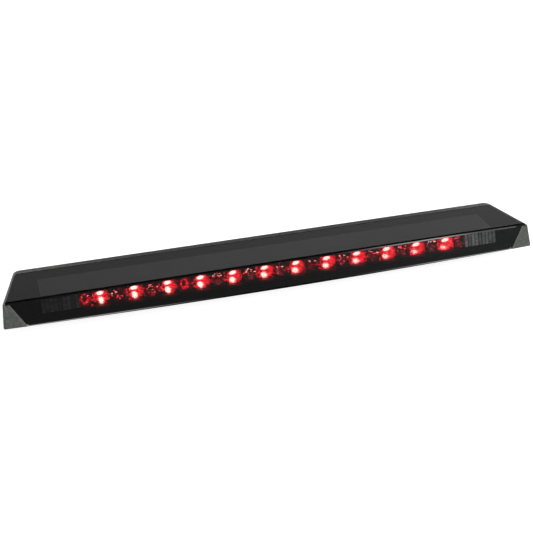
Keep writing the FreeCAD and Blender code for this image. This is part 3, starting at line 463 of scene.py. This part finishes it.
MATERIALS = {
    "smoked_lens": smoked_lens(),
    "housing_plastic": housing_plastic(),
    "black_sealant": rubber("black_sealant", BLACK, 0.45),
    "dark_panel": moulded_plastic("dark_panel", grey(0.2), 0.45, 1100.0, 0.08, 0.3 * MM, 0.06),
    "black_plastic": moulded_plastic("black_plastic", BLACK, 0.4, 1100.0, 0.06),
    "bezel_plastic": bezel_plastic(),
    "black_steel": metal("black_steel", grey(0.02), 0.4),
    "metallised": lit_reflector(),
    "clear_plastic": clear_plastic(),
    "prism_plastic": prism_plastic(),
    "circuit_board": moulded_plastic("circuit_board", (0.012, 0.1, 0.04, 1), 0.35, 900.0, 0.05),
    "red_lamp": lamp_glow(),
    "chip_ceramic": moulded_plastic("chip_ceramic", grey(0.02), 0.6),
    "chip_moulding": moulded_plastic("chip_moulding", grey(0.015), 0.5),
    "connector_nylon": moulded_plastic("connector_nylon", (0.7, 0.67, 0.56, 1), 0.45),
    "plated_steel": metal("plated_steel", (0.62, 0.58, 0.45, 1), 0.28),
    "foam": moulded_plastic("foam", grey(0.022), 0.92, 1400.0, 0.9, 0.5 * MM, 0.35),
    "soft_rubber": rubber("soft_rubber", grey(0.012), 0.55),
    "white_membrane": moulded_plastic("white_membrane", grey(0.75), 0.8),
    "feed_insulation": moulded_plastic("feed_insulation", (0.35, 0.015, 0.012, 1), 0.35, 1200.0, 0.05),
    "ground_insulation": moulded_plastic("ground_insulation", grey(0.012), 0.35, 1200.0, 0.05),
    "woven_sleeve": moulded_plastic("woven_sleeve", grey(0.04), 0.5, 2500.0, 0.3, 0.05 * MM, 0.3),
    "connector_plastic": moulded_plastic("connector_plastic", grey(0.03), 0.42, 900.0, 0.1),
    "tinned_brass": metal("tinned_brass", (0.75, 0.7, 0.58, 1), 0.25),
    "seal_rubber": rubber("seal_rubber", (0.4, 0.06, 0.02, 1), 0.45),
    "lock_plastic": moulded_plastic("lock_plastic", (0.45, 0.02, 0.012, 1), 0.35, 900.0, 0.05),
}
for entry in frame["record"]["subparts"]:
    node = NODES[entry["node"]]
    node.data.materials.clear()
    node.data.materials.append(MATERIALS[entry["material_slot"]])
for label in ("side_prism_left", "side_prism_right"):
    NODES[label].data.materials[0] = MATERIALS["prism_plastic"]
NODES["bezel"].data.materials[0] = MATERIALS["bezel_plastic"]


# ---------------------------------------------------------------- sizes of the pieces in mesh code
# the strip's surface is a grid of flat facets; a bowl's depth is counted in from the face
LIT_FACETS_ACROSS, DARK_FACETS_ACROSS, FACETS_DOWN = 14, 10, 12
BOWL_FRONT, BOWL_DEEP, BOWL_WALL = 10.0 * MM, 9.0 * MM, 0.8 * MM
LIT_HALF, DARK_HALF, BOWL_HALF_TALL = 0.3 * LAMP_PITCH, 0.19 * LAMP_PITCH, 8.3 * MM
LAMP_HOLE = 1.6 * MM
# two of the dark bowls get painted glints in a ring
RINGED_CELLS = (0, 6)
RING_HALF, RING_HALF_TALL = 5.6 * MM, 6.8 * MM
# painted glow of a dark bowl, of a lit bowl's rim, and round its hot lobes
DARK_GLOW, RIM_GLOW, WARM_GLOW = 0.02, 0.06, 0.62
FACET_SEED, FOAM_SEED = 12, 7

STUDS_LOW, STUDS_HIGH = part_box("mounting_studs")
STUD_REACH = 5.2 * MM
STUD_X, STUD_Y = STUDS_HIGH.x - STUD_REACH, STUDS_HIGH.y - STUD_REACH
THREAD_ROUND, THREAD_PITCH, THREAD_DEEP, TIP_ROUND = 2.5 * MM, 0.8 * MM, 0.45 * MM, 1.8 * MM
SHANK_ROUND, HEAD_ROUND = 2.9 * MM, 5.1 * MM
THREAD_TOP, SHANK_TOP, THREAD_STEP = -0.4 * MM, 8.0 * MM, 0.1 * MM
HEAD_EDGE, HEAD_EDGE_TALL = 0.3 * MM, 0.2 * MM
STUD_SIDES = 28

SLEEVE_LOW, SLEEVE_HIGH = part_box("wire_sleeve")
SLEEVE_ROUND = (SLEEVE_HIGH.z - SLEEVE_LOW.z) / 2
SLEEVE_BEND, SLEEVE_WALL, BRAID_DEEP = 6.5 * MM, 0.9 * MM, 0.4 * MM
STRANDS, LAY = 8, 3.2 * MM
SLEEVE_SIDES, SLEEVE_STATIONS = 72, 210

GASKET_LOW, GASKET_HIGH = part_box("base_gasket")
GASKET_BAND_SIDE, GASKET_BAND_FRONT = 12.0 * MM, 8.0 * MM
OUTER_CORNER, INNER_CORNER = 10 * MM, 4 * MM
CORNER_STEPS, END_STEPS, LONG_STEPS = 8, 18, 240
# how much higher the bowed underside is at the housing's ends than in its middle
BOW = 3.4 * MM
# holes for the studs all the way through, and wider ones for the pads in the upper part
PAD_HOLE, STUD_HOLE, HOLE_SIDES = 8.7 * MM, 4.2 * MM, 40
FOAM_UNEVEN = 0.07 * MM


# ---------------------------------------------------------------- pieces in mesh code
def object_from(name, mesh):
    """Turns a bmesh into an object of the scene."""
    data = bpy.data.meshes.new(name)
    mesh.to_mesh(data)
    mesh.free()
    item = bpy.data.objects.new(name, data)
    bpy.context.scene.collection.objects.link(item)
    return item


def new_piece(name, mesh, slot, replaced):
    """Turns a bmesh into a piece that rides on the lamp and stands for a CAD node."""
    piece = object_from(name, mesh)
    piece.data.materials.append(MATERIALS[slot])
    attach(piece, "lamp")
    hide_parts(replaced)
    return piece


def apply_modifiers(piece):
    """Bakes a piece's modifiers into its mesh."""
    bpy.context.view_layer.update()
    graph = bpy.context.evaluated_depsgraph_get()
    baked = bpy.data.meshes.new_from_object(piece.evaluated_get(graph))
    piece.modifiers.clear()
    piece.data = baked


def lobe(across, down, place, reach):
    """A soft-edged ellipse: 1 in its middle, 0 well outside its reach."""
    far = ((across - place[0]) / reach[0]) ** 2 + ((down - place[1]) / reach[1]) ** 2
    return max(0.0, min(1.0, (1.9 - far) / 1.4))


def from_middle(across, down, lit):
    """Distance from a bowl's middle as a share of the way to its rim."""
    return math.hypot(across / (LIT_HALF if lit else DARK_HALF), down / BOWL_HALF_TALL)


def bowl_inward(across, down, lit):
    """Depth behind the face of a bowl's surface, at offsets from its middle."""
    return BOWL_FRONT + BOWL_DEEP * max(0.0, 1.0 - from_middle(across, down, lit) ** 2)


def bowl_glow(across, down, lit, share):
    """How strongly light is painted on a point of a bowl: two hot lobes, painted reflections of the lamp,
    above and below a lit lamp.

    Share goes from 0 at the strip's left end to 1 at its right end, where the lower lobe lies
    further to the left.
    """
    if not lit:
        return DARK_GLOW
    # the upper and the lower lobe's middle, across and down, and then how far each reaches
    places = (Vector((-0.4 + 2.0 * share, -4.6 + 0.7 * share)) * MM,
              Vector((0.4 - 3.4 * share, 4.4 + 1.5 * share)) * MM)
    reaches = (Vector((4.3, 2.9)) * MM, Vector((2.9 + 2.4 * share, 3.8 - 1.6 * share)) * MM)
    upper, lower = (lobe(across, down, place, reach) for place, reach in zip(places, reaches))
    core = max(upper, lower * (1.0 - 0.36 * share))
    warm = max(lobe(across, down, place, reach * 1.5) for place, reach in zip(places, reaches))
    # the painted red field is brighter towards the right and the foot, and fades before the bowl's rim
    side = 0.5 + 0.5 * across / LIT_HALF
    red = 0.30 + 0.08 * share + 0.30 * side + 0.06 * down / BOWL_HALF_TALL
    fall = max(0.0, min(1.0, (1.15 + 0.12 * share - from_middle(across, down, lit)) / 0.5))
    red = RIM_GLOW + (red - RIM_GLOW) * fall * fall * (3 - 2 * fall)
    red += (WARM_GLOW - red) * warm * 0.8
    return red + (1.0 - red) * core


def facet_spark(across, down, lit, ringed, draw):
    """The extra painted glow of one facet, its painted glint, from a random draw; a ringed bowl gets
    painted glints in a ring.
    """
    if lit:
        return (1.1 - 0.5 * across / LIT_HALF) * (draw - 0.62)
    if ringed:
        on_ring = 0.6 < math.hypot(across / RING_HALF, down / RING_HALF_TALL) < 1.0
        return 0.34 + 0.5 * draw ** 4 if on_ring else 0.2 * draw ** 2
    if from_middle(across, down, lit) > 1.0:
        return 0.0
    # more of the facets in the upper part get a painted glint
    upper_part = -0.8 < down / BOWL_HALF_TALL < -0.1
    glinting = 0.2 if upper_part else 0.05
    if draw > 1.0 - glinting:
        return 0.64 + 1.4 * (1.0 - draw)
    return 0.36 * draw ** 2


def bowl_columns():
    """Columns of vertices along the strip: x, the bowl's middle, and whether it is lit or ringed."""
    columns = []
    edge = -STRIP_HALF
    for cell in range(2 * LAMPS + 1):
        lit = cell % 2 == 1
        middle = (cell / 2 - LAMPS / 2) * LAMP_PITCH
        end = min(STRIP_HALF, middle + (LIT_HALF if lit else LAMP_PITCH / 2 - LIT_HALF))
        if cell in (0, 2 * LAMPS):
            middle = (edge + end) / 2
        count = LIT_FACETS_ACROSS if lit else DARK_FACETS_ACROSS
        for step in range(count):
            columns.append((edge + (end - edge) * step / count, middle, lit, cell in RINGED_CELLS))
        edge = end
    columns.append((STRIP_HALF, middle, lit, False))
    return columns


def build_bowls():
    """The metallised strip: faceted bowls in a row, every second one round a lamp."""
    mesh = bmesh.new()
    # painted light: a glow for each vertex and a glint for each facet
    glow = mesh.verts.layers.float.new("glow")
    spark = mesh.faces.layers.float.new("spark")
    rng = random.Random(FACET_SEED)
    tall = STRIP_FOOT - STRIP_TOP
    columns = bowl_columns()
    grid = []
    for x, middle, lit, ringed in columns:
        line = []
        for row in range(FACETS_DOWN + 1):
            down = (row / FACETS_DOWN - 0.5) * tall
            across = x - middle
            vertex = mesh.verts.new(face_point(x, bowl_inward(across, down, lit), STRIP_MIDDLE + down))
            vertex[glow] = bowl_glow(across, down, lit, 0.5 + 0.5 * middle / STRIP_HALF)
            line.append(vertex)
        grid.append(line)
    for index, (x, middle, lit, ringed) in enumerate(columns[:-1]):
        across = (x + columns[index + 1][0]) / 2 - middle
        first, second = grid[index], grid[index + 1]
        for row in range(FACETS_DOWN):
            down = ((row + 0.5) / FACETS_DOWN - 0.5) * tall
            draw = rng.random()
            if lit and math.hypot(across, down) < LAMP_HOLE:
                continue
            face = mesh.faces.new((first[row], second[row], second[row + 1], first[row + 1]))
            face[spark] = facet_spark(across, down, lit, ringed, draw)
    mesh.normal_update()
    piece = new_piece("reflector_bowls", mesh, "metallised", "reflector_strip")
    shell = piece.modifiers.new("shell", "SOLIDIFY")
    shell.thickness = BOWL_WALL
    shell.offset = -1.0
    apply_modifiers(piece)


def ring_of(mesh, centre, side, up, radii):
    """A ring of vertices about a centre, its radius given for each step round."""
    count = len(radii)
    return [mesh.verts.new(centre + side * (radius * math.cos(2 * math.pi * step / count))
                           + up * (radius * math.sin(2 * math.pi * step / count)))
            for step, radius in enumerate(radii)]


def join_rings(mesh, first, second):
    count = len(first)
    for step in range(count):
        after = (step + 1) % count
        mesh.faces.new((first[step], first[after], second[after], second[step]))


def stud_radius(level, turn):
    """Radius of a stud: a rolled thread below the pad, a shank through the boss, a flat head."""
    if level < THREAD_TOP:
        crest = 2 * abs((level / THREAD_PITCH - turn) % 1.0 - 0.5)
        radius = THREAD_ROUND - THREAD_DEEP * (1 - min(1.0, 1.25 * crest))
        return min(radius, TIP_ROUND + (level - STUDS_LOW.z))
    if level < SHANK_TOP:
        return SHANK_ROUND
    return HEAD_ROUND


def build_studs():
    """Four studs with rolled threads."""
    mesh = bmesh.new()
    side, up = Vector((1, 0, 0)), Vector((0, 1, 0))
    steps = round((THREAD_TOP - STUDS_LOW.z) / THREAD_STEP)
    levels = [STUDS_LOW.z + THREAD_STEP * step for step in range(steps + 1)]
    levels += [THREAD_TOP + 0.05 * MM, SHANK_TOP - 0.1 * MM, SHANK_TOP]
    levels += [STUDS_HIGH.z - HEAD_EDGE_TALL, STUDS_HIGH.z]
    for x in (-STUD_X, STUD_X):
        for y in (-STUD_Y, STUD_Y):
            rings = []
            for level in levels:
                radii = [stud_radius(level, step / STUD_SIDES) for step in range(STUD_SIDES)]
                if level == STUDS_HIGH.z:
                    radii = [radius - HEAD_EDGE for radius in radii]
                rings.append(ring_of(mesh, Vector((x, y, level)), side, up, radii))
            for below, above in zip(rings, rings[1:]):
                join_rings(mesh, below, above)
            mesh.faces.new(rings[0][::-1])
            mesh.faces.new(rings[-1])
    new_piece("threaded_studs", mesh, "plated_steel", "mounting_studs")


def sleeve_station(travel):
    """Centre and sideways direction at a distance along the sleeve: back, a quarter bend, then right."""
    level = SLEEVE_LOW.z + SLEEVE_ROUND
    x, run = SLEEVE_LOW.x + SLEEVE_ROUND, SLEEVE_HIGH.y - SLEEVE_ROUND
    first = run - SLEEVE_BEND - SLEEVE_LOW.y
    if travel <= first:
        return Vector((x, SLEEVE_LOW.y + travel, level)), Vector((1, 0, 0))
    turn = min((travel - first) / SLEEVE_BEND, math.pi / 2)
    side = Vector((math.cos(turn), -math.sin(turn), 0))
    centre = Vector((x + SLEEVE_BEND, run - SLEEVE_BEND, level)) - side * SLEEVE_BEND
    beyond = max(0.0, travel - first - SLEEVE_BEND * math.pi / 2)
    return centre + Vector((beyond, 0, 0)), side


def braid_height(travel, turn):
    """Surface of a braid of two families of strands that cross over and under, 0 to 1."""
    lay = travel / LAY
    first, second = STRANDS * turn + lay, STRANDS * turn - lay
    over = (math.floor(first) + math.floor(second)) % 2
    heights = [math.sin(math.pi * (place % 1.0)) ** 0.6 for place in (first, second)]
    return max(heights[0] * (1.0 if over else 0.5), heights[1] * (0.5 if over else 1.0))


def build_sleeve():
    """The braided sleeve round both wires outside the lamp."""
    mesh = bmesh.new()
    up = Vector((0, 0, 1))
    run = SLEEVE_HIGH.y - SLEEVE_ROUND
    whole = (run - SLEEVE_BEND - SLEEVE_LOW.y) + SLEEVE_BEND * math.pi / 2
    whole += SLEEVE_HIGH.x - (SLEEVE_LOW.x + SLEEVE_ROUND + SLEEVE_BEND)
    outer, inner = [], []
    for station in range(SLEEVE_STATIONS + 1):
        travel = whole * station / SLEEVE_STATIONS
        centre, side = sleeve_station(travel)
        radii = [SLEEVE_ROUND - BRAID_DEEP * (1 - braid_height(travel, step / SLEEVE_SIDES))
                 for step in range(SLEEVE_SIDES)]
        outer.append(ring_of(mesh, centre, side, up, radii))
        inner.append(ring_of(mesh, centre, side, up, [SLEEVE_ROUND - SLEEVE_WALL] * SLEEVE_SIDES))
    for index in range(SLEEVE_STATIONS):
        join_rings(mesh, outer[index], outer[index + 1])
        join_rings(mesh, inner[index + 1], inner[index])
    join_rings(mesh, inner[0], outer[0])
    join_rings(mesh, outer[-1], inner[-1])
    bmesh.ops.recalc_face_normals(mesh, faces=mesh.faces)
    for face in mesh.faces:
        face.smooth = True
    new_piece("braided_sleeve", mesh, "woven_sleeve", "wire_sleeve")


def rounded_rectangle(low, high, radius):
    """Points round a rectangle with rounded corners, always as many, so that two of them match."""
    points = []
    side_steps = (END_STEPS, LONG_STEPS, END_STEPS, LONG_STEPS)
    centres = [(high.x - radius, low.y + radius, -90), (high.x - radius, high.y - radius, 0),
               (low.x + radius, high.y - radius, 90), (low.x + radius, low.y + radius, 180)]
    for index, (x, y, start) in enumerate(centres):
        angles = [math.radians(start + 90 * step / CORNER_STEPS) for step in range(CORNER_STEPS + 1)]
        arc = [Vector((x + radius * math.cos(angle), y + radius * math.sin(angle), 0)) for angle in angles]
        points += arc
        next_x, next_y, next_start = centres[(index + 1) % 4]
        angle = math.radians(next_start)
        target = Vector((next_x + radius * math.cos(angle), next_y + radius * math.sin(angle), 0))
        steps = side_steps[index]
        points += [arc[-1].lerp(target, step / steps) for step in range(1, steps)]
    return points


def cylinder_cutter(places, radius, low, high):
    """A throwaway object of upright round bars, for cutting holes."""
    mesh = bmesh.new()
    side, up = Vector((1, 0, 0)), Vector((0, 1, 0))
    for x, y in places:
        rings = [ring_of(mesh, Vector((x, y, level)), side, up, [radius] * HOLE_SIDES)
                 for level in (low, high)]
        join_rings(mesh, rings[0], rings[1])
        mesh.faces.new(rings[0][::-1])
        mesh.faces.new(rings[1])
    return object_from("cutter", mesh)


def build_gasket():
    """Closed-cell foam ring: rounded corners, soft edges and a slightly uneven skin.

    It is cut away round the studs and, in its upper part, round the stud pads.
    """
    mesh = bmesh.new()
    rng = random.Random(FOAM_SEED)
    inner_low = Vector((GASKET_LOW.x + GASKET_BAND_SIDE, GASKET_LOW.y + GASKET_BAND_FRONT, 0))
    inner_high = Vector((GASKET_HIGH.x - GASKET_BAND_SIDE, GASKET_HIGH.y - GASKET_BAND_SIDE, 0))
    outer = rounded_rectangle(GASKET_LOW, GASKET_HIGH, OUTER_CORNER)
    inner = rounded_rectangle(inner_low, inner_high, INNER_CORNER)
    # round the section: share of the way from the outer edge to the inner, and up from the foot
    section = [(0.0, 0.2), (0.0, 0.5), (0.0, 0.8), (0.03, 0.95), (0.08, 1.0), (0.36, 1.0), (0.64, 1.0),
               (0.92, 1.0), (0.97, 0.95), (1.0, 0.8), (1.0, 0.5), (1.0, 0.2), (0.97, 0.05), (0.92, 0.0),
               (0.64, 0.0), (0.36, 0.0), (0.08, 0.0), (0.03, 0.05)]
    rings = []
    for far, near in zip(outer, inner):
        ring = []
        for share, lift in section:
            point = far.lerp(near, share)
            top = BOW * (point.x / FOOT_HALF) ** 2 - 0.1 * MM
            point.z = GASKET_LOW.z + (top - GASKET_LOW.z) * lift
            point += Vector([rng.uniform(-FOAM_UNEVEN, FOAM_UNEVEN) for axis in range(3)])
            ring.append(mesh.verts.new(point))
        rings.append(ring)
    for first, second in zip(rings, rings[1:] + rings[:1]):
        join_rings(mesh, first, second)
    bmesh.ops.recalc_face_normals(mesh, faces=mesh.faces)
    for face in mesh.faces:
        face.smooth = True
    piece = new_piece("foam_gasket", mesh, "foam", "base_gasket")
    places = [(x, y) for x in (-STUD_X, STUD_X) for y in (-STUD_Y, STUD_Y)]
    over = 8 * MM
    cutters = (cylinder_cutter(places, STUD_HOLE, GASKET_LOW.z - 5 * MM, over),
               cylinder_cutter(places, PAD_HOLE, -0.05 * MM, over))
    for cutter in cutters:
        cutter.data.materials.append(MATERIALS["foam"])
        cut = piece.modifiers.new("hole", "BOOLEAN")
        cut.object = cutter
        cut.operation = "DIFFERENCE"
        cut.solver = "MANIFOLD"
    apply_modifiers(piece)
    for cutter in cutters:
        bpy.data.objects.remove(cutter)


def round_edges(label, width):
    """Gives a CAD moulding softly rounded edges with modifiers."""
    node = NODES[label]
    weld = node.modifiers.new("weld", "WELD")
    weld.merge_threshold = 0.002 * MM
    soften = node.modifiers.new("round", "BEVEL")
    soften.width = width
    soften.segments = 2
    soften.limit_method = "ANGLE"
    soften.angle_limit = math.radians(40)
    soften.harden_normals = True


build_bowls()
build_studs()
build_sleeve()
build_gasket()
for label in ("connector_body", "connector_latch", "connector_lock"):
    round_edges(label, 0.3 * MM)


# ---------------------------------------------------------------- stage, light and camera
def build_world():
    """A studio: a grey backdrop behind the lamp, black overhead, a pale panel at the front right."""
    world = bpy.data.worlds.new("studio")
    bpy.context.scene.world = world
    studio = Nodes(world, "ShaderNodeOutputWorld")
    x, y, z = studio.split(studio.add("ShaderNodeTexCoord").outputs["Generated"])
    behind = studio.span(y, -0.1, 0.6, 0.19, 0.33, True)
    aside = studio.span(x, -0.3, 0.6, 0.88, 1.5)
    overhead = studio.span(z, 0.62, 0.8, 1.0, 0.05, True)
    backdrop = studio.product(behind, aside, overhead)
    right = studio.span(x, 0.2, 0.6, 0.0, 0.22, True)
    ahead = studio.span(y, -0.9, -0.2, 1.0, 0.0, True)
    panel = studio.product(right, ahead, overhead)
    backdrop_light = studio.add("ShaderNodeBackground", Color=grey(1.0), Strength=backdrop)
    panel_light = studio.add("ShaderNodeBackground", Color=(0.85, 0.93, 1.0, 1), Strength=panel)
    mirrored = studio.plus(backdrop_light.outputs[0], panel_light.outputs[0])
    # the camera itself sees plain white paper
    paper = studio.add("ShaderNodeBackground", Color=grey(1.0), Strength=1.0)
    seen = studio.add("ShaderNodeLightPath").outputs["Is Camera Ray"]
    studio.finish(studio.blend(seen, mirrored, paper.outputs[0]))


def build_floor():
    """A wide white sheet just below the studs; only the camera sees its full brightness."""
    mesh = bmesh.new()
    bmesh.ops.create_grid(mesh, x_segments=8, y_segments=8, size=40.0)
    floor = object_from("floor", mesh)
    floor.location.z = CAD_BOX[0][2] - 0.2 * MM
    shader = Shader("floor")
    mottle = shader.noise(6.0, 3.0)
    diffuse = shader.add("ShaderNodeBsdfDiffuse", Color=shader.mix_color(mottle, grey(0.46), grey(0.5)))
    seen = shader.add("ShaderNodeLightPath").outputs["Is Camera Ray"]
    glow = shader.add("ShaderNodeEmission", Color=grey(1.0), Strength=shader.product(seen, 0.93))
    floor.data.materials.append(shader.finish(shader.plus(diffuse.outputs[0], glow.outputs[0])))


def area_light(name, place, width, height, power):
    """A soft box aimed at the lamp; it lights surfaces but isn't mirrored in them."""
    lamp = bpy.data.lights.new(name, "AREA")
    lamp.shape = "RECTANGLE"
    lamp.size, lamp.size_y = width, height
    lamp.energy = power
    item = bpy.data.objects.new(name, lamp)
    item.location = place
    item.rotation_euler = (-Vector(place)).to_track_quat("-Z", "Y").to_euler()
    item.visible_glossy = False
    bpy.context.scene.collection.objects.link(item)


def build_camera():
    """Seen from the front left, thirty degrees up, as a long lens sees it."""
    azimuth, elevation, distance = math.radians(-17.23), math.radians(29.83), 1.21279
    target = Vector((-19.59 * MM, FACE_Y, 25.71 * MM))
    back = Vector((math.sin(azimuth) * math.cos(elevation), -math.cos(azimuth) * math.cos(elevation),
                   math.sin(elevation)))
    camera = bpy.data.cameras.new("camera")
    camera.sensor_width = 36.0
    camera.lens = 70.03
    item = bpy.data.objects.new("camera", camera)
    item.location = target + back * distance
    item.rotation_euler = (-back).to_track_quat("-Z", "Y").to_euler()
    bpy.context.scene.collection.objects.link(item)
    bpy.context.scene.camera = item


build_world()
build_floor()
area_light("key", place=(0.7, -1.3, 1.7), width=1.6, height=0.9, power=34.0)
area_light("top", place=(0, 0.1, 2.2), width=2.0, height=0.8, power=10.0)
build_camera()
bpy.context.scene.view_settings.view_transform = "Standard"
